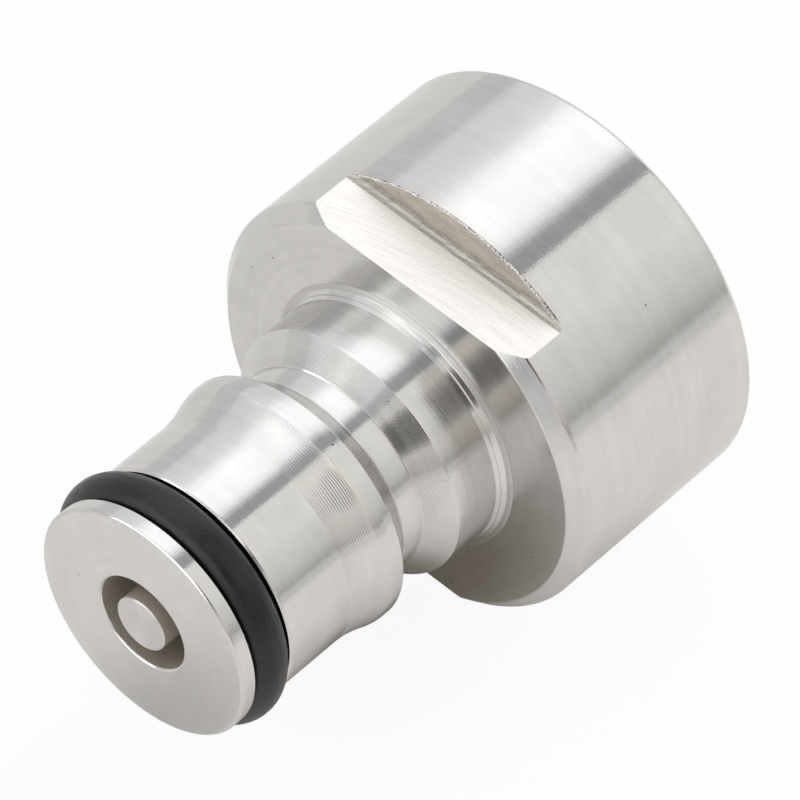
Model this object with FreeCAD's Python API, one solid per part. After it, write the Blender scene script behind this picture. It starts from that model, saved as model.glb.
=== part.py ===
import FreeCAD, Part
import math
import os

# Adapter that turns a keg coupler's threaded port into a quick-disconnect post.
# Millimetres. X runs along the flow, from the mouth of the thread (x = 0) to the nose.
# The two wrench flats face +Z and -Z.

# Threaded end
BODY_RADIUS = 13.5
BODY_LENGTH = 15.0
FRONT_CHAMFER = 0.9
REAR_EDGE_BREAK = 0.3
THREAD_MAJOR_RADIUS = 11.456
THREAD_END = 7.4
THREAD_LEAD_IN = 0.5
RELIEF_DEPTH = 0.3
RELIEF_LENGTH = 2.2

# Wrench flats
FLAT_TO_FLAT = 22.0
FLAT_LENGTH = 3.9
FLAT_CORNER_RADIUS = 0.5

# Neck between the threaded end and the ridge
ROOT_STEP = 0.55
ROOT_CONE_LENGTH = 0.45
ROOT_CONE_RISE = 0.35
ROOT_GROOVE_WIDTH = 0.2
ROOT_GROOVE_DEPTH = 0.1
COLLAR_LENGTH = 3.25
NECK_DEPTH = 1.45
NECK_CONE_LENGTH = 1.35
NECK_LENGTH = 1.6
LOCK_FACE_LENGTH = 1.45

# Post
POST_RADIUS = 7.5
RIDGE_RISE = 0.6
RIDGE_LAND = 0.55
RIDGE_EDGE_BREAK = 0.08
FLARE_HOLLOW_RADIUS = 7.0
FLARE_CREST_RADIUS = 2.0
BARREL_LENGTH = 4.75
BARREL_EDGE_BREAK = 0.12
NOSE_SETBACK = 0.05
NOSE_LAND = 1.0
NOSE_EDGE_BREAK = 0.15

# O-ring on the post
O_RING_SECTION_RADIUS = 1.31
O_RING_SEAT_CLEARANCE = 0.01
O_RING_SIDE_CLEARANCE = 0.09
O_RING_BULGE = 0.58

# Passage
NOSE_HOLE_RADIUS = 3.05
NOSE_HOLE_EDGE_BREAK = 0.1
NOSE_HOLE_LENGTH = 3.2
CHAMBER_RADIUS = 4.75
CHAMBER_LEAD_IN = 0.3

# Poppet
PIN_RADIUS = 1.75
PIN_EDGE_BREAK = 0.2
PIN_PROUD = 0.1
POPPET_FLANGE_RADIUS = 3.9
POPPET_FLANGE_LENGTH = 1.2
POPPET_PILOT_RADIUS = 2.2
POPPET_PILOT_LENGTH = 1.5
TAIL_RADIUS = 1.25
TAIL_OVERLAP = 2.0
SEAL_TO_CONE_CLEARANCE = 0.05
SEAL_BORE_CLEARANCE = 0.02
SEAL_NOSE_SETBACK = 0.25
SEAL_SKIRT_LENGTH = 1.3

# Spring
SPRING_WIRE_RADIUS = 0.3
SPRING_COIL_RADIUS = 2.9
SPRING_TURNS = 6.0
SPRING_WIRE_SIDES = 6

# Spring seat and the ring that holds it
RING_THICKNESS = 0.7
RING_GROOVE_DEPTH = 0.45
RING_RADIAL_WIDTH = 0.9
RING_CLEARANCE = 0.05
RING_GAP_ANGLE = 50.0
RING_LUG_RADIUS = 0.75
RING_LUG_HOLE_RADIUS = 0.35
RING_SETBACK = 1.1
SEAT_THICKNESS = 1.0
SEAT_CLEARANCE = 0.05
SEAT_HUB_RADIUS = 2.2
SEAT_HUB_LENGTH = 2.5
SEAT_LOBES = 3
SEAT_SCALLOP_RADIUS = 1.75
SEAT_WEB_RADIUS = 3.35
GUIDE_CLEARANCE = 0.05

# Washer that seals on the coupler
WASHER_RADIUS = 10.2
WASHER_BORE_RADIUS = 5.75
WASHER_THICKNESS = 2.0
WASHER_EDGE_BREAK = 0.2

# Radii of the body
guide_radius = POST_RADIUS + RIDGE_RISE
neck_radius = guide_radius - NECK_DEPTH
root_radius = guide_radius + ROOT_STEP
nose_radius = POST_RADIUS - NOSE_SETBACK

# Stations along the flow axis
thread_bottom_x = THREAD_END + RELIEF_LENGTH
root_groove_x = BODY_LENGTH + ROOT_CONE_LENGTH
collar_start_x = root_groove_x + ROOT_GROOVE_WIDTH
collar_end_x = collar_start_x + COLLAR_LENGTH
neck_start_x = collar_end_x + NECK_CONE_LENGTH
neck_end_x = neck_start_x + NECK_LENGTH
ridge_start_x = neck_end_x + LOCK_FACE_LENGTH
ridge_end_x = ridge_start_x + RIDGE_LAND
flare_angle = math.acos(1 - RIDGE_RISE / (FLARE_HOLLOW_RADIUS + FLARE_CREST_RADIUS))
flare_length = (FLARE_HOLLOW_RADIUS + FLARE_CREST_RADIUS) * math.sin(flare_angle)
barrel_start_x = ridge_end_x + flare_length
groove_start_x = barrel_start_x + BARREL_LENGTH
groove_end_x = groove_start_x + 2 * (O_RING_SECTION_RADIUS + O_RING_SIDE_CLEARANCE)
nose_x = groove_end_x + NOSE_LAND
cone_small_x = nose_x - NOSE_HOLE_LENGTH
cone_large_x = cone_small_x - (CHAMBER_RADIUS - NOSE_HOLE_RADIUS)

# Radii and stations of the pieces inside
o_ring_centre_radius = POST_RADIUS + O_RING_BULGE - O_RING_SECTION_RADIUS
groove_radius = o_ring_centre_radius - O_RING_SECTION_RADIUS - O_RING_SEAT_CLEARANCE
ring_front_x = thread_bottom_x + RING_SETBACK + RING_THICKNESS
seat_front_x = ring_front_x + SEAT_THICKNESS
hub_front_x = seat_front_x + SEAT_HUB_LENGTH
seal_gap = SEAL_TO_CONE_CLEARANCE * math.sqrt(2)
seal_shoulder_x = cone_large_x + CHAMBER_RADIUS - seal_gap - POPPET_FLANGE_RADIUS
seal_back_x = seal_shoulder_x - SEAL_SKIRT_LENGTH
seal_front_x = cone_small_x - SEAL_NOSE_SETBACK
seal_front_radius = NOSE_HOLE_RADIUS + SEAL_NOSE_SETBACK - seal_gap
flange_back_x = seal_back_x - POPPET_FLANGE_LENGTH
pilot_back_x = flange_back_x - POPPET_PILOT_LENGTH
tail_back_x = hub_front_x - TAIL_OVERLAP


def point(x, radius):
    return FreeCAD.Vector(x, 0, radius)


def straight_edges(corners):
    """Edges from corner to corner, left open at the ends."""
    points = [point(x, radius) for x, radius in corners]
    return [Part.LineSegment(a, b).toShape() for a, b in zip(points, points[1:])]


def straight_outline(corners):
    """Edges from corner to corner, closed back to the first."""
    return straight_edges(corners + corners[:1])


def turned(edges):
    """Turn a closed half section about the flow axis."""
    section = Part.Face(Part.Wire(edges))
    return section.revolve(FreeCAD.Vector(0, 0, 0), FreeCAD.Vector(1, 0, 0), 360)


def tube(x_start, x_end, outer_radius, inner_radius=0.0):
    corners = [(x_start, inner_radius), (x_start, outer_radius), (x_end, outer_radius), (x_end, inner_radius)]
    return turned(straight_outline(corners))


def flare_edges():
    """Hollow curve up from the barrel, then a crest that runs out onto the ridge."""
    meeting_x = barrel_start_x - FLARE_HOLLOW_RADIUS * math.sin(flare_angle)
    meeting_radius = POST_RADIUS + FLARE_HOLLOW_RADIUS * (1 - math.cos(flare_angle))
    half = flare_angle / 2
    crest_middle = point(
        ridge_end_x + FLARE_CREST_RADIUS * math.sin(half),
        guide_radius - FLARE_CREST_RADIUS * (1 - math.cos(half)),
    )
    hollow_middle = point(
        barrel_start_x - FLARE_HOLLOW_RADIUS * math.sin(half),
        POST_RADIUS + FLARE_HOLLOW_RADIUS * (1 - math.cos(half)),
    )
    meeting = point(meeting_x, meeting_radius)
    crest = Part.Arc(point(ridge_end_x, guide_radius), crest_middle, meeting)
    hollow = Part.Arc(meeting, hollow_middle, point(barrel_start_x, POST_RADIUS))
    return [crest.toShape(), hollow.toShape()]


def body_outline():
    """Half section of the body, from the thread's mouth round the outside to the nose and back inside."""
    before_flare = [
        (0, BODY_RADIUS - REAR_EDGE_BREAK),
        (REAR_EDGE_BREAK, BODY_RADIUS),
        (BODY_LENGTH - FRONT_CHAMFER, BODY_RADIUS),
        (BODY_LENGTH, BODY_RADIUS - FRONT_CHAMFER),
        (BODY_LENGTH, root_radius),
        (root_groove_x, root_radius - ROOT_CONE_RISE),
        (root_groove_x, guide_radius - ROOT_GROOVE_DEPTH),
        (collar_start_x, guide_radius - ROOT_GROOVE_DEPTH),
        (collar_start_x, guide_radius),
        (collar_end_x, guide_radius),
        (neck_start_x, neck_radius),
        (neck_end_x, neck_radius),
        (ridge_start_x, guide_radius - RIDGE_EDGE_BREAK),
        (ridge_start_x + RIDGE_EDGE_BREAK, guide_radius),
        (ridge_end_x, guide_radius),
    ]
    after_flare = [
        (barrel_start_x, POST_RADIUS),
        (groove_start_x - BARREL_EDGE_BREAK, POST_RADIUS),
        (groove_start_x, POST_RADIUS - BARREL_EDGE_BREAK),
        (groove_start_x, groove_radius),
        (groove_end_x, groove_radius),
        (groove_end_x, nose_radius),
        (nose_x - NOSE_EDGE_BREAK, nose_radius),
        (nose_x, nose_radius - NOSE_EDGE_BREAK),
        (nose_x, NOSE_HOLE_RADIUS + NOSE_HOLE_EDGE_BREAK),
        (nose_x - NOSE_HOLE_EDGE_BREAK, NOSE_HOLE_RADIUS),
        (cone_small_x, NOSE_HOLE_RADIUS),
        (cone_large_x, CHAMBER_RADIUS),
        (thread_bottom_x + CHAMBER_LEAD_IN, CHAMBER_RADIUS),
        (thread_bottom_x, CHAMBER_RADIUS + CHAMBER_LEAD_IN),
        (thread_bottom_x, THREAD_MAJOR_RADIUS + RELIEF_DEPTH),
        (THREAD_END, THREAD_MAJOR_RADIUS + RELIEF_DEPTH),
        (THREAD_END, THREAD_MAJOR_RADIUS),
        (THREAD_LEAD_IN, THREAD_MAJOR_RADIUS),
        (0, THREAD_MAJOR_RADIUS + THREAD_LEAD_IN),
        (0, BODY_RADIUS - REAR_EDGE_BREAK),
    ]
    return straight_edges(before_flare) + flare_edges() + straight_edges(after_flare)


def flat_cutter(side):
    """Bar that mills one wrench flat, with the cutter's rounded corner. side is 1 for +Z and -1 for -Z."""
    flat_z = FLAT_TO_FLAT / 2
    wall_x = BODY_LENGTH - FLAT_LENGTH
    far_x = BODY_LENGTH + 1
    far_z = BODY_RADIUS + 1
    corner = FLAT_CORNER_RADIUS
    reach = corner * (1 - math.sqrt(0.5))
    wall_foot = point(wall_x, flat_z + corner)
    flat_start = point(wall_x + corner, flat_z)
    arc = Part.Arc(wall_foot, point(wall_x + reach, flat_z + reach), flat_start).toShape()
    ring = [flat_start, point(far_x, flat_z), point(far_x, far_z), point(wall_x, far_z), wall_foot]
    edges = [arc] + [Part.LineSegment(a, b).toShape() for a, b in zip(ring, ring[1:])]
    section = Part.Face(Part.Wire(edges))
    section.translate(FreeCAD.Vector(0, -far_z, 0))
    bar = section.extrude(FreeCAD.Vector(0, 2 * far_z, 0))
    if side < 0:
        bar.rotate(FreeCAD.Vector(0, 0, 0), FreeCAD.Vector(1, 0, 0), 180)
    return bar


def ring_groove():
    """Groove in the chamber's mouth for the retaining ring."""
    start_x = ring_front_x - RING_THICKNESS
    return tube(start_x, ring_front_x + RING_CLEARANCE, CHAMBER_RADIUS + RING_GROOVE_DEPTH)


def adapter_body():
    body = turned(body_outline())
    for side in (1, -1):
        body = body.cut(flat_cutter(side))
    return body.cut(ring_groove())


def post_o_ring():
    middle_x = (groove_start_x + groove_end_x) / 2
    centre = FreeCAD.Vector(middle_x, 0, 0)
    along = FreeCAD.Vector(1, 0, 0)
    return Part.makeTorus(o_ring_centre_radius, O_RING_SECTION_RADIUS, centre, along)


def poppet_stem():
    tip_x = nose_x + PIN_PROUD
    corners = [
        (tail_back_x, 0),
        (tail_back_x, TAIL_RADIUS - PIN_EDGE_BREAK),
        (tail_back_x + PIN_EDGE_BREAK, TAIL_RADIUS),
        (pilot_back_x, TAIL_RADIUS),
        (pilot_back_x, POPPET_PILOT_RADIUS),
        (flange_back_x, POPPET_PILOT_RADIUS),
        (flange_back_x, POPPET_FLANGE_RADIUS),
        (seal_back_x, POPPET_FLANGE_RADIUS),
        (seal_back_x, PIN_RADIUS),
        (tip_x - PIN_EDGE_BREAK, PIN_RADIUS),
        (tip_x, PIN_RADIUS - PIN_EDGE_BREAK),
        (tip_x, 0),
    ]
    return turned(straight_outline(corners))


def poppet_seal():
    """Rubber cone on the stem, shaped to the body's seat."""
    bore = PIN_RADIUS + SEAL_BORE_CLEARANCE
    corners = [
        (seal_back_x, bore),
        (seal_back_x, POPPET_FLANGE_RADIUS),
        (seal_shoulder_x, POPPET_FLANGE_RADIUS),
        (seal_front_x, seal_front_radius),
        (seal_front_x, bore),
    ]
    return turned(straight_outline(corners))


def wire_section():
    """Section of the spring's wire at the start of its helix, with a few flats in place of the round."""
    step = 2 * math.pi / SPRING_WIRE_SIDES
    corners = []
    for side in range(SPRING_WIRE_SIDES + 1):
        across = SPRING_COIL_RADIUS + SPRING_WIRE_RADIUS * math.cos(side * step)
        along = SPRING_WIRE_RADIUS * math.sin(side * step)
        corners.append(FreeCAD.Vector(across, 0, along))
    return Part.makePolygon(corners)


def poppet_spring():
    """Open coil with its ends ground flat against the seat and the poppet's flange."""
    length = flange_back_x - seat_front_x
    pitch = length / SPRING_TURNS
    overrun = pitch / 4
    helix = Part.makeHelix(pitch, length + 2 * overrun, SPRING_COIL_RADIUS)
    coil = Part.Wire(helix).makePipeShell([wire_section()], True, True)
    coil.rotate(FreeCAD.Vector(0, 0, 0), FreeCAD.Vector(0, 1, 0), 90)
    coil.translate(FreeCAD.Vector(seat_front_x - overrun, 0, 0))
    return coil.common(tube(seat_front_x, flange_back_x, SPRING_COIL_RADIUS + 2 * SPRING_WIRE_RADIUS))


def around(shape, angle):
    """A copy of shape turned about the flow axis."""
    turned_copy = shape.copy()
    turned_copy.rotate(FreeCAD.Vector(0, 0, 0), FreeCAD.Vector(1, 0, 0), angle)
    return turned_copy


def post_along_flow(x_start, x_end, radius, height):
    """Round bar parallel to the flow axis, height above it."""
    base = FreeCAD.Vector(x_start, 0, height)
    return Part.makeCylinder(radius, x_end - x_start, base, FreeCAD.Vector(1, 0, 0))


def spring_seat():
    """Disc with a hub for the stem's tail, scalloped between its lobes to let the flow past."""
    seat_radius = CHAMBER_RADIUS - SEAT_CLEARANCE
    disc = tube(ring_front_x, seat_front_x, seat_radius)
    scallop_height = SEAT_WEB_RADIUS + SEAT_SCALLOP_RADIUS
    scallop = post_along_flow(ring_front_x - 1, seat_front_x + 1, SEAT_SCALLOP_RADIUS, scallop_height)
    for lobe in range(SEAT_LOBES):
        disc = disc.cut(around(scallop, 360.0 * lobe / SEAT_LOBES))
    hub = tube(ring_front_x, hub_front_x, SEAT_HUB_RADIUS)
    guide = tube(ring_front_x - 1, hub_front_x + 1, TAIL_RADIUS + GUIDE_CLEARANCE)
    return disc.fuse(hub).cut(guide).removeSplitter()


def retaining_ring():
    """Open ring with a drilled lug at each side of its gap."""
    outer = CHAMBER_RADIUS + RING_GROOVE_DEPTH - RING_CLEARANCE
    inner = outer - RING_RADIAL_WIDTH
    back_x = ring_front_x - RING_THICKNESS
    ring = tube(back_x, ring_front_x, outer, inner)
    half_gap = math.radians(RING_GAP_ANGLE / 2)
    far = 2 * outer
    mouth = [
        FreeCAD.Vector(back_x - 1, 0, 0),
        FreeCAD.Vector(back_x - 1, far * math.sin(half_gap), far * math.cos(half_gap)),
        FreeCAD.Vector(back_x - 1, -far * math.sin(half_gap), far * math.cos(half_gap)),
    ]
    wedge = Part.Face(Part.makePolygon(mouth + mouth[:1])).extrude(FreeCAD.Vector(RING_THICKNESS + 2, 0, 0))
    ring = ring.cut(wedge)
    lug_height = outer - RING_RADIAL_WIDTH / 2 - RING_LUG_RADIUS / 2
    for side in (1, -1):
        angle = side * (RING_GAP_ANGLE / 2 + math.degrees(RING_LUG_RADIUS / lug_height))
        lug = around(post_along_flow(back_x, ring_front_x, RING_LUG_RADIUS, lug_height), angle)
        hole = around(post_along_flow(back_x - 1, ring_front_x + 1, RING_LUG_HOLE_RADIUS, lug_height), angle)
        ring = ring.fuse(lug).cut(hole)
    return ring.removeSplitter()


def coupler_washer():
    back_x = thread_bottom_x - WASHER_THICKNESS
    corners = [
        (back_x, WASHER_BORE_RADIUS + WASHER_EDGE_BREAK),
        (back_x, WASHER_RADIUS - WASHER_EDGE_BREAK),
        (back_x + WASHER_EDGE_BREAK, WASHER_RADIUS),
        (thread_bottom_x - WASHER_EDGE_BREAK, WASHER_RADIUS),
        (thread_bottom_x, WASHER_RADIUS - WASHER_EDGE_BREAK),
        (thread_bottom_x, WASHER_BORE_RADIUS + WASHER_EDGE_BREAK),
        (thread_bottom_x - WASHER_EDGE_BREAK, WASHER_BORE_RADIUS),
        (back_x + WASHER_EDGE_BREAK, WASHER_BORE_RADIUS),
    ]
    return turned(straight_outline(corners))


PIECES = {
    "adapter_body": adapter_body,
    "post_o_ring": post_o_ring,
    "poppet_stem": poppet_stem,
    "poppet_seal": poppet_seal,
    "poppet_spring": poppet_spring,
    "spring_seat": spring_seat,
    "retaining_ring": retaining_ring,
    "coupler_washer": coupler_washer,
}

os.makedirs("parts", exist_ok=True)
for name, make in PIECES.items():
    make().exportStep("parts/" + name + ".step")
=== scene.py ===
import math
import random

import bmesh
import bpy
from mathutils import Matrix, Vector, noise


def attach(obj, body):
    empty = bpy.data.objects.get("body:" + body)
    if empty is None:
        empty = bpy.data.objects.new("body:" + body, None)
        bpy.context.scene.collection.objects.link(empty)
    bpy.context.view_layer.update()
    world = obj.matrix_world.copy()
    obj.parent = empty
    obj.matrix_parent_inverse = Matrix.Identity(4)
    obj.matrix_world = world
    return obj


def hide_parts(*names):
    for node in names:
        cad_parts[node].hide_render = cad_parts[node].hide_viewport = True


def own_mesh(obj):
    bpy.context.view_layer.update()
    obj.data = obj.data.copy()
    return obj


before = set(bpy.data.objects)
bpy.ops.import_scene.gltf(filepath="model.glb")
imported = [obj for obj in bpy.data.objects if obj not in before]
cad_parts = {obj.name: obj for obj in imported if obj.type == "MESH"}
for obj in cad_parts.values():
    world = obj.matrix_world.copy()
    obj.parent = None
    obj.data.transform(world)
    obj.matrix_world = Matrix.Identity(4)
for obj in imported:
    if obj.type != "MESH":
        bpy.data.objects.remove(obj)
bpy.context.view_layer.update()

# Lengths of the fitting and of the floor are written in millimetres and turned into metres by this.
# Those of the light tent, the lamp and the camera are in metres.
MM = 0.001

# Steps round the flow axis for the body, and for the smaller pieces inside
TURNING_STEPS = 288
INNER_STEPS = 128

# Threaded end, along the flow axis from the thread's mouth
BODY_RADIUS = 13.5
BODY_LENGTH = 15.0
REAR_EDGE_BREAK = 0.3
FRONT_CHAMFER = 0.9
THREAD_ROOT = 11.456
THREAD_CREST = 10.29
THREAD_PITCH = 1.814
THREAD_TURNS = 4
THREAD_LEAD_IN = 0.5
THREAD_END = 7.4
RELIEF_RADIUS = 11.756
THREAD_BOTTOM = 9.6

# Wrench flats
FLAT_HEIGHT = 11.0
FLAT_WALL = 11.1
FLAT_CORNER_RADIUS = 0.42

# Root ring, collar, neck and ridge
ROOT_RADIUS = 8.74
ROOT_END = 15.16
COLLAR_START = 15.7
COLLAR_END = 18.8
GUIDE_RADIUS = 8.1
CONE_START = 18.86
CONE_END = 20.2
CONE_STEPS = 16
NECK_START = 20.25
NECK_END = 21.85
NECK_RADIUS = 6.65
RIDGE_START = 23.38
RIDGE_END = 23.85
RIDGE_ROUNDING = 0.3714

# Post, its O-ring and its nose
POST_RADIUS = 7.5
FLARE_ROUNDING = 1.2997
FLARE_GROOVE_DEPTH = 0.015
BARREL_START = 27.082
BARREL_EDGE_BREAK = 0.12
GROOVE_START = 31.832
GROOVE_END = 34.632
GROOVE_RADIUS = 5.45
O_RING_RADIUS = 6.77
O_RING_SECTION_RADIUS = 1.31
NOSE = 35.631
NOSE_RADIUS = 7.45
NOSE_EDGE_BREAK = 0.15

# Passage
NOSE_HOLE_RADIUS = 3.05
NOSE_HOLE_LENGTH = 3.2
NOSE_HOLE_EDGE_BREAK = 0.1
CHAMBER_CONE_END = NOSE - 4.9
CHAMBER_RADIUS = 4.75
CHAMBER_LEAD_IN = 0.3
RING_GROOVE_RADIUS = 5.2
RING_GROOVE_END = 11.45

# Poppet, from its tail to its pin
TAIL_START = 12.9
TAIL_RADIUS = 1.25
PILOT_START = 27.51
PILOT_RADIUS = 2.2
FLANGE_START = 29.01
FLANGE_RADIUS = 3.9
FLANGE_END = 30.21
PIN_RADIUS = 1.75
PIN_END = NOSE + 0.1
SEAL_BORE_RADIUS = 1.77
SEAL_SHOULDER = 31.511
SEAL_FRONT = 32.181
SEAL_FRONT_RADIUS = 3.229

# Spring, its seat, the ring that holds them and the washer
WIRE_RADIUS = 0.3
COIL_RADIUS = 2.9
COIL_TURNS = 6
RING_BACK = 10.7
RING_FRONT = 11.4
RING_RADIUS = 5.15
RING_WIDTH = 0.9
RING_HALF_GAP = math.radians(25)
LUG_RADIUS = 0.75
LUG_HOLE_RADIUS = 0.35
SEAT_FRONT = 12.4
SEAT_RADIUS = 4.7
SEAT_LOBES = 3
SCALLOP_RADIUS = 1.75
SCALLOP_HEIGHT = 5.1
HUB_FRONT = 14.9
HUB_RADIUS = 2.2
HUB_BORE_RADIUS = 1.3
WASHER_START = 7.6
WASHER_RADIUS = 10.2
WASHER_BORE_RADIUS = 5.75
WASHER_EDGE_BREAK = 0.25


# Shaping


def new_piece(name, bm, materials, body, stands_for=None):
    """Turn a finished bmesh, still in millimetres, into a piece that rides on a body."""
    bmesh.ops.scale(bm, vec=(MM, MM, MM), verts=bm.verts)
    mesh = bpy.data.meshes.new(name)
    bm.to_mesh(mesh)
    bm.free()
    for material in materials:
        mesh.materials.append(material)
    piece = bpy.data.objects.new(name, mesh)
    bpy.context.scene.collection.objects.link(piece)
    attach(piece, body)
    if stands_for:
        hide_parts(stands_for)
    return piece


def soften(bm, crease=28, milled=()):
    """Smooth round the turned walls, flat on end faces and milled slots, crisp at sharp edges."""
    bm.normal_update()
    for face in bm.faces:
        face.smooth = abs(face.normal.x) < 0.9999 and face.material_index not in milled
    for edge in bm.edges:
        same_finish = len({face.material_index for face in edge.link_faces}) == 1
        edge.smooth = edge.is_manifold and same_finish and edge.calc_face_angle(0) < math.radians(crease)


def hold_straights(bm, margin=0.02, least=0.25):
    """Points close to both ends of each straight, so that its shading doesn't bend towards a rounding."""
    for edge in [edge for edge in bm.edges if edge.calc_length() > least]:
        start, end = edge.verts
        length = edge.calc_length()
        added = bmesh.utils.edge_split(edge, start, margin / length)
        longer = max((edge, added[0]), key=lambda part: part.calc_length())
        bmesh.utils.edge_split(longer, end, margin / (length - margin))


def half_section(corners, closed=True):
    """Wire of a half section from corners (x, radius) or (x, radius, rounding, segments)."""
    bm = bmesh.new()
    wire = [bm.verts.new((corner[0], 0, corner[1])) for corner in corners]
    for start, end in zip(wire, wire[1:]):
        bm.edges.new((start, end))
    if closed:
        bm.edges.new((wire[-1], wire[0]))
    for vertex, corner in zip(wire, corners):
        if len(corner) == 4:
            bmesh.ops.bevel(
                bm, geom=[vertex], affect="VERTICES", offset=corner[2], offset_type="OFFSET",
                segments=corner[3], profile=0.5, material=-1, clamp_overlap=False,
            )
    hold_straights(bm)
    return bm


def turned(bm, steps=TURNING_STEPS):
    """Spin a half section once about the flow axis."""
    bmesh.ops.spin(
        bm, geom=bm.verts[:] + bm.edges[:], cent=(0, 0, 0), axis=(1, 0, 0),
        angle=math.tau, steps=steps, use_merge=True,
    )
    bmesh.ops.remove_doubles(bm, verts=bm.verts, dist=0.0005)
    bmesh.ops.recalc_face_normals(bm, faces=bm.faces)
    return bm


def scored(bm, x_start, x_end, depth, every):
    """Sink some points of a wire between two stations, so that they turn into fine V grooves."""
    points = sorted((v for v in bm.verts if x_start < v.co.x < x_end), key=lambda v: v.co.x)
    for vertex in points[::every]:
        vertex.co.z -= depth


def stepped_taper(x_start, r_start, x_end, r_end, steps, tread, slope):
    """Corners of a taper turned in fine steps: a tread at its own slope, then a short riser."""
    run = (x_end - x_start) / steps
    fall = (r_end - r_start) / steps
    corners = []
    for step in range(steps):
        x = x_start + run * step
        r = r_start + fall * step
        corners.append((x, r))
        corners.append((x + run * tread, r - run * tread * math.tan(math.radians(slope))))
    return corners


def crisp_rings(bm, x_start, x_end):
    """Keep the ring edges between two stations sharp, so that fine grooves shade as grooves."""
    for edge in bm.edges:
        first, second = (v.co for v in edge.verts)
        if x_start < first.x < x_end and abs(first.x - second.x) < 0.0005:
            edge.smooth = False


def combined(bm, other, operation="DIFFERENCE"):
    """Take another solid away from this one, or join it on."""
    blanks = []
    for part in (bm, other):
        mesh = bpy.data.meshes.new("blank")
        part.to_mesh(mesh)
        part.free()
        blanks.append(bpy.data.objects.new("blank", mesh))
        bpy.context.scene.collection.objects.link(blanks[-1])
    modifier = blanks[0].modifiers.new("cut", "BOOLEAN")
    modifier.operation = operation
    modifier.solver = "EXACT"
    modifier.object = blanks[1]
    bpy.context.view_layer.update()
    finished = blanks[0].evaluated_get(bpy.context.evaluated_depsgraph_get())
    result = bmesh.new()
    result.from_mesh(finished.to_mesh())
    finished.to_mesh_clear()
    for blank in blanks:
        mesh = blank.data
        bpy.data.objects.remove(blank)
        bpy.data.meshes.remove(mesh)
    return result


# Finishes, and copies of the steel with painted light and shade


def shader_group(name, inputs, outputs):
    """Empty shader group with named inputs {name: default} and float outputs."""
    group = bpy.data.node_groups.new(name, "ShaderNodeTree")
    for socket, default in inputs.items():
        made = group.interface.new_socket(socket, in_out="INPUT", socket_type="NodeSocketFloat")
        made.default_value = default
    for socket in outputs:
        group.interface.new_socket(socket, in_out="OUTPUT", socket_type="NodeSocketFloat")
    return group, group.nodes.new("NodeGroupInput"), group.nodes.new("NodeGroupOutput")


def math_node(tree, operation, first, second=None):
    """Math node whose inputs are numbers or sockets."""
    node = tree.nodes.new("ShaderNodeMath")
    node.operation = operation
    for socket, value in zip(node.inputs, (first, second)):
        if isinstance(value, bpy.types.NodeSocket):
            tree.links.new(value, socket)
        elif value is not None:
            socket.default_value = value
    return node.outputs[0]


def noise_node(tree, vector, scale, detail=2.0, roughness=0.5):
    """Noise from 0 to 1 whose scale is a number or a socket."""
    node = tree.nodes.new("ShaderNodeTexNoise")
    tree.links.new(vector, node.inputs["Vector"])
    if isinstance(scale, bpy.types.NodeSocket):
        tree.links.new(scale, node.inputs["Scale"])
    else:
        node.inputs["Scale"].default_value = scale
    node.inputs["Detail"].default_value = detail
    node.inputs["Roughness"].default_value = roughness
    return node.outputs["Fac"]


def distance_across(tree, first, second):
    """Distance from an axis, from the two coordinates across it."""
    squares = [math_node(tree, "POWER", part, 2.0) for part in (first, second)]
    return math_node(tree, "SQRT", math_node(tree, "ADD", *squares))


def turning_marks_group():
    """Fine rings left by a lathe tool: they follow the axis on cylinders and the radius on faces."""
    inputs = {"Lines per mm": 6.0, "Waviness": 1.0}
    group, given, out = shader_group("turning marks", inputs, ["Height", "Broad"])
    place = group.nodes.new("ShaderNodeTexCoord").outputs["Object"]
    parts = group.nodes.new("ShaderNodeSeparateXYZ")
    group.links.new(place, parts.inputs[0])
    along, across, above = parts.outputs
    radius = math_node(group, "MAXIMUM", distance_across(group, across, above), 0.01 * MM)
    station = math_node(group, "ADD", along, math_node(group, "MULTIPLY", radius, 1.37))
    millimetres = math_node(group, "DIVIDE", station, MM)
    rings = math_node(group, "MULTIPLY", millimetres, given.outputs["Lines per mm"])
    turn = group.nodes.new("ShaderNodeCombineXYZ")
    group.links.new(rings, turn.inputs[0])
    for axis, part in ((1, across), (2, above)):
        share = math_node(group, "DIVIDE", part, radius)
        group.links.new(math_node(group, "MULTIPLY", share, given.outputs["Waviness"]), turn.inputs[axis])
    fine = noise_node(group, turn.outputs[0], 1.0, 2.0)
    broad = noise_node(group, turn.outputs[0], 0.12, 2.0)
    group.links.new(fine, out.inputs["Height"])
    group.links.new(broad, out.inputs["Broad"])
    return group


def blemish_group():
    """Cloudy polish, a few pits and fine grain."""
    inputs = {"Pit size": 0.05, "Cloud scale": 420.0}
    group, given, out = shader_group("blemishes", inputs, ["Clouds", "Pits", "Grain"])
    place = group.nodes.new("ShaderNodeTexCoord").outputs["Object"]
    clouds = noise_node(group, place, given.outputs["Cloud scale"], 4.0, 0.6)
    cells = group.nodes.new("ShaderNodeTexVoronoi")
    group.links.new(place, cells.inputs["Vector"])
    cells.inputs["Scale"].default_value = 700.0
    small = math_node(group, "LESS_THAN", cells.outputs["Distance"], given.outputs["Pit size"])
    chosen = noise_node(group, place, 900.0, 0.0)
    few = math_node(group, "GREATER_THAN", chosen, 0.6)
    pits = math_node(group, "MULTIPLY", small, few)
    group.links.new(clouds, out.inputs["Clouds"])
    group.links.new(pits, out.inputs["Pits"])
    group.links.new(noise_node(group, place, 8000.0, 1.0), out.inputs["Grain"])
    return group


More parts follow.
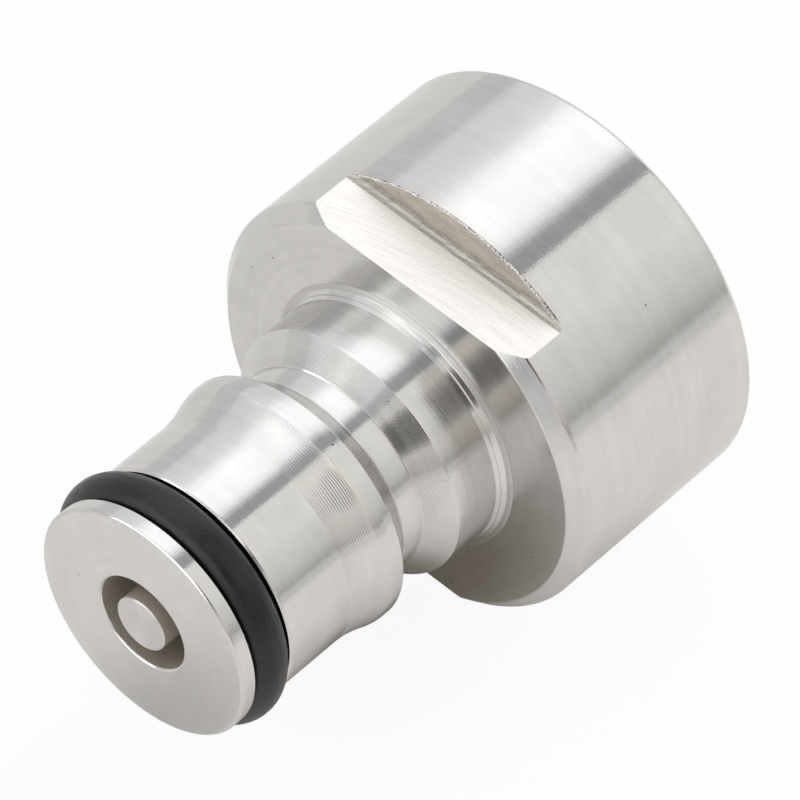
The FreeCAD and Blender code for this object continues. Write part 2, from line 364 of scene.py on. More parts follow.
def milling_marks_group():
    """Shallow arcs swept by a large cutter, whose centre stands in front of the nose."""
    group, given, out = shader_group("milling marks", {"Arcs per mm": 3.0}, ["Height"])
    place = group.nodes.new("ShaderNodeTexCoord").outputs["Object"]
    centred = group.nodes.new("ShaderNodeVectorMath")
    centred.operation = "SUBTRACT"
    centred.inputs[1].default_value = (43.4 * MM, 4.6 * MM, 0.0)
    group.links.new(place, centred.inputs[0])
    parts = group.nodes.new("ShaderNodeSeparateXYZ")
    group.links.new(centred.outputs[0], parts.inputs[0])
    along, across, above = parts.outputs
    millimetres = math_node(group, "DIVIDE", distance_across(group, along, across), MM)
    rings = math_node(group, "MULTIPLY", millimetres, given.outputs["Arcs per mm"])
    angle = math_node(group, "MULTIPLY", math_node(group, "ARCTAN2", across, along), 6.0)
    swept = group.nodes.new("ShaderNodeCombineXYZ")
    group.links.new(rings, swept.inputs[0])
    group.links.new(angle, swept.inputs[1])
    group.links.new(math_node(group, "MULTIPLY", above, 2000.0), swept.inputs[2])
    group.links.new(noise_node(group, swept.outputs[0], 1.0, 3.0, 0.6), out.inputs["Height"])
    return group


def new_material(name):
    """Empty material with its Principled shader."""
    material = bpy.data.materials.new(name)
    material.use_nodes = True
    tree = material.node_tree
    tree.nodes.clear()
    shader = tree.nodes.new("ShaderNodeBsdfPrincipled")
    output = tree.nodes.new("ShaderNodeOutputMaterial")
    tree.links.new(shader.outputs[0], output.inputs["Surface"])
    return material, tree, shader


def placed_group(tree, group, **values):
    """Place a group in a material with its own values, words joined by underscores."""
    node = tree.nodes.new("ShaderNodeGroup")
    node.node_tree = group
    for name, value in values.items():
        node.inputs[name.replace("_", " ")].default_value = value
    return node


def spread(tree, value, low, high):
    """Value from 0 to 1 spread between two numbers."""
    node = tree.nodes.new("ShaderNodeMapRange")
    tree.links.new(value, node.inputs["Value"])
    node.inputs["To Min"].default_value = low
    node.inputs["To Max"].default_value = high
    return node.outputs[0]


def blended(tree, factor, first, second):
    """Colour between two colours."""
    node = tree.nodes.new("ShaderNodeMix")
    node.data_type = "RGBA"
    tree.links.new(factor, node.inputs["Factor"])
    for socket, colour in ((node.inputs["A"], first), (node.inputs["B"], second)):
        if isinstance(colour, bpy.types.NodeSocket):
            tree.links.new(colour, socket)
        else:
            socket.default_value = (*colour, 1)
    return node.outputs["Result"]


def relief(tree, shader, height, distance):
    """Bump the shader's surface by a height, distance in millimetres."""
    bump = tree.nodes.new("ShaderNodeBump")
    bump.inputs["Distance"].default_value = distance * MM
    tree.links.new(height, bump.inputs["Height"])
    tree.links.new(bump.outputs[0], shader.inputs["Normal"])


TURNING_MARKS = turning_marks_group()
BLEMISHES = blemish_group()
MILLING_MARKS = milling_marks_group()


def turned_steel(name, colour, roughness, lines, depth):
    """Stainless steel off the lathe: rings that smear along the axis, cloudy polish and a few pits."""
    material, tree, shader = new_material(name)
    marks = placed_group(tree, TURNING_MARKS, Lines_per_mm=lines)
    wear = placed_group(tree, BLEMISHES, Pit_size=0.05)
    rings = math_node(
        tree, "MULTIPLY",
        spread(tree, marks.outputs["Height"], 0.94, 1.06),
        spread(tree, marks.outputs["Broad"], 0.94, 1.06),
    )
    cloudy = math_node(tree, "MULTIPLY", rings, spread(tree, wear.outputs["Clouds"], 0.9, 1.1))
    bare = tree.nodes.new("ShaderNodeVectorMath")
    bare.operation = "SCALE"
    bare.inputs[0].default_value = colour
    tree.links.new(cloudy, bare.inputs["Scale"])
    pitted = blended(tree, wear.outputs["Pits"], bare.outputs[0], tuple(0.3 * part for part in colour))
    tree.links.new(pitted, shader.inputs["Base Color"])
    shader.inputs["Metallic"].default_value = 1.0
    shader.inputs["Anisotropic"].default_value = 0.88
    shader.inputs["Anisotropic Rotation"].default_value = 0.25
    tangent = tree.nodes.new("ShaderNodeTangent")
    tangent.direction_type = "RADIAL"
    tangent.axis = "X"
    tree.links.new(tangent.outputs[0], shader.inputs["Tangent"])
    hazy = math_node(tree, "ADD", spread(tree, wear.outputs["Clouds"], -0.03, 0.03), roughness)
    rough = math_node(tree, "ADD", hazy, spread(tree, marks.outputs["Height"], -0.04, 0.04))
    tree.links.new(rough, shader.inputs["Roughness"])
    broad = math_node(tree, "MULTIPLY", marks.outputs["Broad"], 1.5)
    grooves = math_node(tree, "ADD", marks.outputs["Height"], broad)
    grained = math_node(tree, "ADD", grooves, wear.outputs["Grain"])
    sunk = math_node(tree, "SUBTRACT", grained, math_node(tree, "MULTIPLY", wear.outputs["Pits"], 3.0))
    relief(tree, shader, sunk, depth)
    return material


def milled_steel(name, colour, roughness, arcs, depth, dulling, metallic=1.0):
    """Stainless steel with the satin of a cutter and its shallow arcs, dulled in part of them."""
    material, tree, shader = new_material(name)
    marks = placed_group(tree, MILLING_MARKS, Arcs_per_mm=arcs)
    wear = placed_group(tree, BLEMISHES)
    dull = tuple(dulling * part for part in colour)
    strokes = tree.nodes.new("ShaderNodeMapRange")
    strokes.inputs["From Min"].default_value = 0.35
    strokes.inputs["From Max"].default_value = 0.6
    grain = math_node(tree, "MULTIPLY", wear.outputs["Grain"], 0.6)
    torn = math_node(tree, "SUBTRACT", math_node(tree, "ADD", marks.outputs["Height"], grain), 0.3)
    tree.links.new(torn, strokes.inputs["Value"])
    tree.links.new(blended(tree, strokes.outputs[0], dull, colour), shader.inputs["Base Color"])
    shader.inputs["Metallic"].default_value = metallic
    hazy = spread(tree, wear.outputs["Clouds"], roughness - 0.06, roughness + 0.06)
    tree.links.new(hazy, shader.inputs["Roughness"])
    relief(tree, shader, torn, depth)
    return material


def burred_steel(name, colour, roughness, grain, depth, metallic):
    """Steel broken into bright and dark specks where a cutter left its edge ragged. The specks are painted
    glints in the colour, and bump the surface too.
    """
    material, tree, shader = new_material(name)
    place = tree.nodes.new("ShaderNodeTexCoord").outputs["Object"]
    specks = noise_node(tree, place, grain, 2.0, 0.6)
    dull = tuple(0.7 * part for part in colour)
    tree.links.new(blended(tree, specks, dull, colour), shader.inputs["Base Color"])
    shader.inputs["Metallic"].default_value = metallic
    tree.links.new(spread(tree, specks, roughness - 0.08, roughness + 0.08), shader.inputs["Roughness"])
    relief(tree, shader, specks, depth)
    return material


def moulded_rubber(name, colour, roughness):
    """Black moulded rubber with a soft bloom, fine scuffs round it and a little dust."""
    material, tree, shader = new_material(name)
    wear = placed_group(tree, BLEMISHES, Pit_size=0.05, Cloud_scale=420.0)
    scuffs = placed_group(tree, TURNING_MARKS, Lines_per_mm=9.0, Waviness=6.0)
    mottled = math_node(tree, "MULTIPLY", wear.outputs["Clouds"], scuffs.outputs["Height"])
    darker = tuple(0.5 * part for part in colour)
    paler = tuple(2.4 * part for part in colour)
    bloom = blended(tree, spread(tree, mottled, -0.6, 1.9), darker, paler)
    dusty = blended(tree, wear.outputs["Pits"], bloom, (0.4, 0.4, 0.39))
    tree.links.new(dusty, shader.inputs["Base Color"])
    shader.inputs["Specular IOR Level"].default_value = 0.4
    tree.links.new(spread(tree, mottled, roughness - 0.2, roughness + 0.5), shader.inputs["Roughness"])
    scuffed = math_node(tree, "MULTIPLY", scuffs.outputs["Height"], 0.8)
    relief(tree, shader, math_node(tree, "ADD", wear.outputs["Grain"], scuffed), 0.012)
    return material


BODY_STEEL = turned_steel("turned stainless", (0.66, 0.655, 0.645), 0.14, 8.0, 0.0022)
# Darker, warmer copy of the steel for the slot walls: painted shade.
PAINTED_SHADE_WALL_STEEL = milled_steel("milled wall with painted shade", (0.52, 0.485, 0.44), 0.34, 6.0, 0.01, 0.8)
# Near-white, half-diffuse copy of the steel for the flats: painted light.
PAINTED_LIGHT_FLAT_STEEL = milled_steel("milled flat with painted light", (1.0, 0.98, 0.95), 0.55, 5.0, 0.012, 0.9, 0.45)
# Darker copy of the steel for the cutter's corner: painted shade.
PAINTED_SHADE_CORNER_STEEL = milled_steel("cutter corner with painted shade", (0.42, 0.4, 0.37), 0.36, 9.0, 0.02, 0.7)
# Near-white steel with bright and dark specks for the burr: painted glints.
PAINTED_GLINT_BURR_STEEL = burred_steel("ragged burr with painted glints", (0.97, 0.965, 0.96), 0.25, 9000.0, 0.02, 0.5)
ROOT_STEEL = turned_steel("dull root ring", (0.6, 0.59, 0.575), 0.42, 8.0, 0.004)
# Paler, half-diffuse beige copy of the steel for the nose hole and the pin's side: painted light.
PAINTED_LIGHT_BORE_STEEL = milled_steel("satin bore with painted light", (0.68, 0.63, 0.56), 0.36, 6.0, 0.004, 0.9, 0.55)
PIN_STEEL = turned_steel("satin pin steel", (0.64, 0.635, 0.625), 0.34, 9.0, 0.003)
SPRING_STEEL = turned_steel("drawn spring wire", (0.6, 0.6, 0.6), 0.22, 14.0, 0.001)
BLACK_RUBBER = moulded_rubber("black rubber", (0.012, 0.012, 0.013), 0.36)


# Pieces


def wrench_flat_cutter():
    """Bars that mill the two wrench flats, each with the cutter's rounded inner corner."""
    bm = bmesh.new()
    bmesh.ops.create_cube(bm, size=1.0)
    length, height = 6.0, 4.0
    bmesh.ops.scale(bm, vec=(length, 30.0, height), verts=bm.verts)
    bmesh.ops.translate(bm, vec=(FLAT_WALL + length / 2, 0, FLAT_HEIGHT + height / 2), verts=bm.verts)
    inner = [
        edge for edge in bm.edges
        if all(abs(v.co.x - FLAT_WALL) < 0.001 and abs(v.co.z - FLAT_HEIGHT) < 0.001 for v in edge.verts)
    ]
    bmesh.ops.bevel(
        bm, geom=inner, affect="EDGES", offset=FLAT_CORNER_RADIUS, segments=3, profile=0.5, material=-1,
    )
    bmesh.ops.spin(
        bm, geom=bm.faces[:], cent=(0, 0, 0), axis=(1, 0, 0), angle=math.pi, steps=1, use_duplicate=True,
    )
    bmesh.ops.recalc_face_normals(bm, faces=bm.faces)
    return bm


def adapter_body():
    """The turned body: threaded end with two wrench flats, grooved neck, ridge, flare and barrel."""
    outline = half_section([
        (0, BODY_RADIUS - REAR_EDGE_BREAK, 0.05, 2),
        (REAR_EDGE_BREAK, BODY_RADIUS, 0.1, 3),
        (BODY_LENGTH - FRONT_CHAMFER, BODY_RADIUS, 0.15, 3),
        (BODY_LENGTH, BODY_RADIUS - FRONT_CHAMFER, 0.08, 3),
        (BODY_LENGTH, ROOT_RADIUS),
        (ROOT_END - 0.06, ROOT_RADIUS - 0.06, 0.03, 2),
        (ROOT_END, ROOT_RADIUS - 0.3, 0.03, 2),
        (COLLAR_START - 0.3, GUIDE_RADIUS + 0.165),
        (COLLAR_START - 0.2, GUIDE_RADIUS + 0.15),
        (COLLAR_START, GUIDE_RADIUS),
        (COLLAR_END, GUIDE_RADIUS, 0.06, 2),
        *stepped_taper(CONE_START, GUIDE_RADIUS - 0.04, CONE_END, NECK_RADIUS + 0.05, CONE_STEPS, 0.84, 37.5),
        (NECK_START, NECK_RADIUS),
        (NECK_END, NECK_RADIUS, 0.15, 3),
        (RIDGE_START - 0.08, GUIDE_RADIUS - 0.08, 0.05, 2),
        (RIDGE_START, GUIDE_RADIUS, 0.03, 2),
        (RIDGE_END + RIDGE_ROUNDING, GUIDE_RADIUS, RIDGE_ROUNDING, 6),
        (BARREL_START - FLARE_ROUNDING, POST_RADIUS, FLARE_ROUNDING, 72),
        (GROOVE_START - BARREL_EDGE_BREAK, POST_RADIUS, 0.04, 2),
        (GROOVE_START, POST_RADIUS - BARREL_EDGE_BREAK),
        (GROOVE_START, GROOVE_RADIUS),
        (GROOVE_END, GROOVE_RADIUS),
        (GROOVE_END, NOSE_RADIUS, 0.04, 2),
        (NOSE - NOSE_EDGE_BREAK, NOSE_RADIUS, 0.06, 2),
        (NOSE, NOSE_RADIUS - NOSE_EDGE_BREAK, 0.06, 2),
        (NOSE, NOSE_HOLE_RADIUS + NOSE_HOLE_EDGE_BREAK, 0.04, 2),
        (NOSE - NOSE_HOLE_EDGE_BREAK, NOSE_HOLE_RADIUS, 0.04, 2),
        (NOSE - NOSE_HOLE_LENGTH, NOSE_HOLE_RADIUS),
        (CHAMBER_CONE_END, CHAMBER_RADIUS),
        (RING_GROOVE_END, CHAMBER_RADIUS),
        (RING_GROOVE_END, RING_GROOVE_RADIUS),
        (RING_BACK, RING_GROOVE_RADIUS),
        (RING_BACK, CHAMBER_RADIUS),
        (THREAD_BOTTOM + CHAMBER_LEAD_IN, CHAMBER_RADIUS),
        (THREAD_BOTTOM, CHAMBER_RADIUS + CHAMBER_LEAD_IN),
        (THREAD_BOTTOM, RELIEF_RADIUS),
        (THREAD_END, RELIEF_RADIUS),
        (THREAD_END, THREAD_ROOT),
        (THREAD_LEAD_IN, THREAD_ROOT, 0.05, 2),
        (0, THREAD_ROOT + THREAD_LEAD_IN, 0.05, 2),
    ])
    flare = (RIDGE_END + 0.85, BARREL_START - 0.02)
    scored(outline, *flare, FLARE_GROOVE_DEPTH, 4)
    bm = combined(turned(outline), wrench_flat_cutter())
    on_flat, on_wall, on_corner, in_nose_hole, on_root = range(1, 6)
    bm.normal_update()
    for face in bm.faces:
        middle = face.calc_center_median()
        radius = math.hypot(middle.y, middle.z)
        cut_height = FLAT_HEIGHT - 0.001 < abs(middle.z) < BODY_RADIUS - 0.02
        near_nose = middle.x > NOSE - NOSE_HOLE_LENGTH - 0.1
        if near_nose and radius < NOSE_HOLE_RADIUS + 0.01 and abs(face.normal.x) < 0.3:
            face.material_index = in_nose_hole
        if BODY_LENGTH < middle.x < ROOT_END + 0.005 and radius > ROOT_RADIUS - 0.32:
            face.material_index = on_root
        if not cut_height or middle.x < FLAT_WALL - 0.001 or abs(face.normal.y) > 0.001:
            continue
        if abs(face.normal.z) > 0.99:
            face.material_index = on_flat
        elif face.normal.x > 0.99 and middle.x < FLAT_WALL + 0.01:
            face.material_index = on_wall
        elif face.normal.x > 0.01 and middle.x < FLAT_WALL + 0.5:
            face.material_index = on_corner
    soften(bm, milled=(on_flat, on_wall, on_corner))
    crisp_rings(bm, RIDGE_END + 0.75, BARREL_START)
    crisp_rings(bm, CONE_START + 0.01, CONE_END + 0.01)
    # Flats take steel with painted light, walls and cutter corners steel with painted shade, the nose hole
    # steel with painted light.
    finishes_with_painted_light_and_shade = [BODY_STEEL, PAINTED_LIGHT_FLAT_STEEL, PAINTED_SHADE_WALL_STEEL, PAINTED_SHADE_CORNER_STEEL, PAINTED_LIGHT_BORE_STEEL, ROOT_STEEL]
    new_piece("turned_body", bm, finishes_with_painted_light_and_shade, "fitting", "adapter_body")


def cutter_burr():
    """Ragged fringe that the cutter left along the round edge of each slot's wall."""
    chance = random.Random(11)
    reach = math.acos(FLAT_HEIGHT / BODY_RADIUS)
    bm = bmesh.new()
    corners = [(-0.05, 13.47), (0.02, 13.48), (0.05, 13.4), (-0.02, 13.35)]
    wire = [bm.verts.new((FLAT_WALL + x, 0, radius)) for x, radius in corners]
    for first, second in zip(wire, wire[1:] + wire[:1]):
        bm.edges.new((first, second))
    bmesh.ops.rotate(bm, cent=(0, 0, 0), matrix=Matrix.Rotation(-reach, 3, "X"), verts=bm.verts)
    bmesh.ops.spin(
        bm, geom=bm.verts[:] + bm.edges[:], cent=(0, 0, 0), axis=(1, 0, 0), angle=2 * reach, steps=260,
    )
    for vertex in bm.verts:
        radius = math.hypot(vertex.co.y, vertex.co.z)
        angle = math.atan2(vertex.co.y, vertex.co.z)
        size = max(0.3, 1.0 + 2.0 * noise.noise((14 * angle, 3.7, 0.2)) + 1.2 * angle)
        ragged = size * chance.uniform(-0.07, 0.03)
        vertex.co.yz = vertex.co.yz * min(radius + ragged, BODY_RADIUS - 0.002) / radius
        vertex.co.x += size * chance.uniform(-0.05, 0.1)
    bmesh.ops.holes_fill(bm, edges=bm.edges, sides=4)
    bmesh.ops.recalc_face_normals(bm, faces=bm.faces)
    bmesh.ops.spin(
        bm, geom=bm.faces[:], cent=(0, 0, 0), axis=(1, 0, 0), angle=math.pi, steps=1, use_duplicate=True,
    )
    new_piece("cutter_burr", bm, [PAINTED_GLINT_BURR_STEEL], "fitting")


def thread_ridge():
    """Ridge of the female thread, cut back by the cones at the mouth and at the relief."""
    half_foot = THREAD_PITCH / 2 - 0.1
    half_crest = 0.2
    foot_radius = THREAD_ROOT + 0.04
    ridge = half_section([
        (-half_foot, foot_radius),
        (-half_crest, THREAD_CREST, 0.06, 2),
        (half_crest, THREAD_CREST, 0.06, 2),
        (half_foot, foot_radius),
    ])
    steps = 120 * THREAD_TURNS
    bmesh.ops.spin(
        ridge, geom=ridge.verts[:] + ridge.edges[:], cent=(0, 0, 0), axis=(1, 0, 0),
        dvec=(THREAD_PITCH * THREAD_TURNS / steps, 0, 0), angle=math.tau * THREAD_TURNS, steps=steps,
    )
    bmesh.ops.holes_fill(ridge, edges=ridge.edges, sides=12)
    bmesh.ops.recalc_face_normals(ridge, faces=ridge.faces)
    for vertex in ridge.verts:
        radius = math.hypot(vertex.co.y, vertex.co.z)
        x = max(0.45, min(vertex.co.x, THREAD_END - 0.02))
        mouth = THREAD_ROOT + THREAD_LEAD_IN - x
        runout = THREAD_ROOT - 1.2 * (THREAD_END - x)
        held = min(foot_radius, max(radius, mouth, runout))
        vertex.co.yz = vertex.co.yz * held / radius
        vertex.co.x = x
    bmesh.ops.remove_doubles(ridge, verts=ridge.verts, dist=0.002)
    soften(ridge, 35)
    new_piece("thread_ridge", ridge, [BODY_STEEL], "fitting")


def o_ring():
    """Stretched O-ring with the fine seam of its mould round the outside."""
    middle = (GROOVE_START + GROOVE_END) / 2
    bm = bmesh.new()
    bmesh.ops.create_circle(bm, segments=56, radius=O_RING_SECTION_RADIUS)
    bmesh.ops.rotate(bm, cent=(0, 0, 0), matrix=Matrix.Rotation(math.pi / 2, 3, "X"), verts=bm.verts)
    for vertex in bm.verts:
        if vertex.co.z > O_RING_SECTION_RADIUS - 0.01 and abs(vertex.co.x) < 0.05:
            vertex.co.z -= 0.025
    bmesh.ops.translate(bm, vec=(middle, 0, O_RING_RADIUS), verts=bm.verts)
    turned(bm)
    soften(bm, 60)
    new_piece("post_ring", bm, [BLACK_RUBBER], "fitting", "post_o_ring")


def stem():
    """Poppet stem: pin, flange, pilot for the spring and tail."""
    section = half_section([
        (TAIL_START, 0),
        (TAIL_START, TAIL_RADIUS - 0.2, 0.04, 2),
        (TAIL_START + 0.2, TAIL_RADIUS, 0.04, 2),
        (PILOT_START, TAIL_RADIUS),
        (PILOT_START, PILOT_RADIUS, 0.1, 3),
        (FLANGE_START, PILOT_RADIUS),
        (FLANGE_START, FLANGE_RADIUS, 0.1, 3),
        (FLANGE_END, FLANGE_RADIUS, 0.1, 3),
        (FLANGE_END, PIN_RADIUS),
        (PIN_END - 0.07, PIN_RADIUS, 0.02, 2),
        (PIN_END, PIN_RADIUS - 0.07, 0.02, 2),
        (PIN_END, 0),
    ], closed=False)
    bm = turned(section, INNER_STEPS)
    bm.normal_update()
    for face in bm.faces:
        on_pin_side = face.calc_center_median().x > FLANGE_END + 0.1 and abs(face.normal.x) < 0.3
        face.material_index = int(on_pin_side)
    soften(bm)
    # The pin's side takes the paler bore steel, painted light.
    new_piece("stem", bm, [PIN_STEEL, PAINTED_LIGHT_BORE_STEEL], "poppet", "poppet_stem")


def seal():
    """Rubber cone that closes on the body's seat."""
    section = half_section([
        (FLANGE_END, SEAL_BORE_RADIUS),
        (FLANGE_END, FLANGE_RADIUS, 0.1, 3),
        (SEAL_SHOULDER, FLANGE_RADIUS, 0.1, 3),
        (SEAL_FRONT, SEAL_FRONT_RADIUS, 0.1, 3),
        (SEAL_FRONT, SEAL_BORE_RADIUS),
    ])
    bm = turned(section, INNER_STEPS)
    soften(bm)
    new_piece("seal_cone", bm, [BLACK_RUBBER], "poppet", "poppet_seal")


def spring():
    """Compression spring with closed end coils. The mesh keeps one length and doesn't squash as the poppet
    moves in.
    """
    start, end = SEAT_FRONT, FLANGE_START
    bm = bmesh.new()
    bmesh.ops.create_circle(bm, segments=14, radius=WIRE_RADIUS)
    bmesh.ops.rotate(bm, cent=(0, 0, 0), matrix=Matrix.Rotation(math.pi / 2, 3, "X"), verts=bm.verts)
    bmesh.ops.translate(bm, vec=(start + WIRE_RADIUS, 0, COIL_RADIUS), verts=bm.verts)
    section = bm.verts[:] + bm.edges[:]
    closed_rise = 2 * WIRE_RADIUS
    open_rise = end - start - 2 * WIRE_RADIUS - 2 * closed_rise
    for turns, rise in ((1, closed_rise), (COIL_TURNS, open_rise), (1, closed_rise)):
        steps = 48 * turns
        swept = bmesh.ops.spin(
            bm, geom=section, cent=(0, 0, 0), axis=(1, 0, 0), dvec=(rise / steps, 0, 0),
            angle=math.tau * turns, steps=steps,
        )
        section = swept["geom_last"]
    bmesh.ops.holes_fill(bm, edges=bm.edges, sides=14)
    bmesh.ops.recalc_face_normals(bm, faces=bm.faces)
    soften(bm, 60)
    piece = new_piece("coil_spring", bm, [SPRING_STEEL], "fitting", "poppet_spring")
    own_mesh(piece)


def round_bar(x_start, x_end, radius, height, angle, segments):
    """Closed bar parallel to the flow axis, off the axis by height and turned about it."""
    bm = bmesh.new()
    bmesh.ops.create_cone(
        bm, cap_ends=True, segments=segments, radius1=radius, radius2=radius, depth=x_end - x_start,
    )
    bmesh.ops.rotate(bm, cent=(0, 0, 0), matrix=Matrix.Rotation(math.pi / 2, 3, "Y"), verts=bm.verts)
    bmesh.ops.translate(bm, vec=((x_start + x_end) / 2, 0, height), verts=bm.verts)
    bmesh.ops.rotate(bm, cent=(0, 0, 0), matrix=Matrix.Rotation(angle, 3, "X"), verts=bm.verts)
    return bm


def seat():
    """Three-lobed disc with a hub that guides the stem's tail."""
    section = half_section([
        (RING_FRONT, HUB_BORE_RADIUS, 0.05, 2),
        (RING_FRONT, SEAT_RADIUS, 0.06, 2),
        (SEAT_FRONT, SEAT_RADIUS, 0.06, 2),
        (SEAT_FRONT, HUB_RADIUS, 0.1, 3),
        (HUB_FRONT, HUB_RADIUS, 0.1, 3),
        (HUB_FRONT, HUB_BORE_RADIUS, 0.05, 2),
    ])
    bm = turned(section, INNER_STEPS)
    for lobe in range(SEAT_LOBES):
        angle = lobe * math.tau / SEAT_LOBES
        scallop = round_bar(RING_FRONT - 1, SEAT_FRONT + 1, SCALLOP_RADIUS, SCALLOP_HEIGHT, angle, 64)
        bm = combined(bm, scallop)
    soften(bm)
    new_piece("lobed_seat", bm, [PIN_STEEL], "fitting", "spring_seat")


def snap_ring():
    """Open ring with a drilled lug at each side of its gap."""
    section = half_section([
        (RING_BACK, RING_RADIUS, 0.06, 2),
        (RING_FRONT, RING_RADIUS, 0.06, 2),
        (RING_FRONT, RING_RADIUS - RING_WIDTH, 0.06, 2),
        (RING_BACK, RING_RADIUS - RING_WIDTH, 0.06, 2),
    ])
    bm = turned(section, INNER_STEPS)
    mouth = bmesh.new()
    bmesh.ops.create_cone(mouth, cap_ends=True, segments=3, radius1=8.0, radius2=8.0, depth=3.0)
    bmesh.ops.rotate(mouth, cent=(0, 0, 0), matrix=Matrix.Rotation(math.pi / 2, 3, "Y"), verts=mouth.verts)
    tip = min(vertex.co.z for vertex in mouth.verts)
    bmesh.ops.translate(mouth, vec=(11.0, 0, -tip), verts=mouth.verts)
    bmesh.ops.scale(mouth, vec=(1, math.tan(RING_HALF_GAP) * math.sqrt(3), 1), verts=mouth.verts)
    bm = combined(bm, mouth)
    lug_height = RING_RADIUS - RING_WIDTH / 2 - LUG_RADIUS / 2
    for side in (1, -1):
        angle = side * (RING_HALF_GAP + LUG_RADIUS / lug_height)
        bm = combined(bm, round_bar(RING_BACK, RING_FRONT, LUG_RADIUS, lug_height, angle, 32), "UNION")
        bm = combined(bm, round_bar(RING_BACK - 1, RING_FRONT + 1, LUG_HOLE_RADIUS, lug_height, angle, 24))
    soften(bm)
    new_piece("snap_ring", bm, [SPRING_STEEL], "fitting", "retaining_ring")


def washer():
    """Flat rubber washer at the bottom of the thread."""
    section = half_section([
        (WASHER_START, WASHER_BORE_RADIUS, WASHER_EDGE_BREAK, 4),
        (WASHER_START, WASHER_RADIUS, WASHER_EDGE_BREAK, 4),
        (THREAD_BOTTOM, WASHER_RADIUS, WASHER_EDGE_BREAK, 4),
        (THREAD_BOTTOM, WASHER_BORE_RADIUS, WASHER_EDGE_BREAK, 4),
    ])
    bm = turned(section, 192)
    soften(bm, 40)
    new_piece("flat_washer", bm, [BLACK_RUBBER], "fitting", "coupler_washer")


adapter_body()
cutter_burr()
thread_ridge()
o_ring()
stem()
seal()
spring()
seat()
snap_ring()
washer()


# Studio


def light_path_level(tree, camera, glossy, other):
    """Level that a surface shows the camera, a mirror and everything else."""
    path = tree.nodes.new("ShaderNodeLightPath")
    mirrored = math_node(tree, "MULTIPLY", path.outputs["Is Glossy Ray"], glossy - other)
    seen = math_node(tree, "MULTIPLY", path.outputs["Is Camera Ray"], camera - other)
    return math_node(tree, "ADD", math_node(tree, "ADD", mirrored, seen), other)


def contact_shade(tree, centre, reach):
    """Mask from 0 at the centre of a patch of painted shadow on the floor to 1 past its reach, both in
    millimetres.
    """
    place = tree.nodes.new("ShaderNodeMapping")
    place.vector_type = "TEXTURE"
    place.inputs["Location"].default_value = (centre[0] * MM, centre[1] * MM, 0)
    place.inputs["Scale"].default_value = (reach[0] * MM, reach[1] * MM, 1)
    tree.links.new(tree.nodes.new("ShaderNodeTexCoord").outputs["Object"], place.inputs[0])
    flat = tree.nodes.new("ShaderNodeVectorMath")
    flat.operation = "MULTIPLY"
    flat.inputs[1].default_value = (1, 1, 0)
    tree.links.new(place.outputs[0], flat.inputs[0])
    away = tree.nodes.new("ShaderNodeVectorMath")
    away.operation = "LENGTH"
    tree.links.new(flat.outputs[0], away.inputs[0])
    ramp = tree.nodes.new("ShaderNodeMapRange")
    ramp.interpolation_type = "SMOOTHSTEP"
    ramp.inputs["From Min"].default_value = 0.05
    ramp.inputs["From Max"].default_value = 1.0
    tree.links.new(away.outputs["Value"], ramp.inputs["Value"])
    return ramp.outputs[0]


def studio_floor():
    """Pale floor under the fitting. The camera sees it almost white, with a faint shadow that is partly real
    and partly painted. The paper that the metal mirrors has painted shadows under the collar and the nose,
    and painted shade towards -Y.
    """
    bm = bmesh.new()
    bmesh.ops.create_grid(bm, x_segments=1, y_segments=1, size=3000.0)
    bmesh.ops.translate(bm, vec=(0, 0, -BODY_RADIUS - 0.01), verts=bm.verts)
    bmesh.ops.scale(bm, vec=(MM, MM, MM), verts=bm.verts)
    mesh = bpy.data.meshes.new("floor")
    bm.to_mesh(mesh)
    bm.free()
    floor = bpy.data.objects.new("floor", mesh)
    bpy.context.scene.collection.objects.link(floor)
    material = bpy.data.materials.new("white floor")
    material.use_nodes = True
    tree = material.node_tree
    tree.nodes.clear()
    paper = tree.nodes.new("ShaderNodeBsdfDiffuse")
    parts = tree.nodes.new("ShaderNodeSeparateXYZ")
    tree.links.new(tree.nodes.new("ShaderNodeTexCoord").outputs["Object"], parts.inputs[0])
    # The paper is painted greyer towards -Y: painted shade.
    across = tree.nodes.new("ShaderNodeMapRange")
    across.inputs["From Min"].default_value = -34 * MM
    across.inputs["From Max"].default_value = -14 * MM
    tree.links.new(parts.outputs[1], across.inputs["Value"])
    paper_with_painted_side_shade = blended(tree, across.outputs[0], (0.85, 0.84, 0.83), (1.0, 0.985, 0.97))
    # Painted shadows in the paper colour: a light one under the nose and a dark one under the collar.
    nose_shade = contact_shade(tree, (40, -1), (9, 8))
    paper_with_painted_nose_shadow = blended(tree, nose_shade, (0.72, 0.71, 0.7), paper_with_painted_side_shade)
    collar_shade = contact_shade(tree, (18.5, 3.5), (13, 10))
    paper_with_painted_collar_shadow = blended(tree, collar_shade, (0.38, 0.345, 0.31), paper_with_painted_nose_shadow)
    tree.links.new(paper_with_painted_collar_shadow, paper.inputs["Color"])
    glow = tree.nodes.new("ShaderNodeEmission")
    mix = tree.nodes.new("ShaderNodeMixShader")
    output = tree.nodes.new("ShaderNodeOutputMaterial")
    tree.links.new(light_path_level(tree, 0.93, 0.0, 0.0), mix.inputs["Fac"])
    tree.links.new(paper.outputs[0], mix.inputs[1])
    tree.links.new(glow.outputs[0], mix.inputs[2])
    tree.links.new(mix.outputs[0], output.inputs["Surface"])
    mesh.materials.append(material)


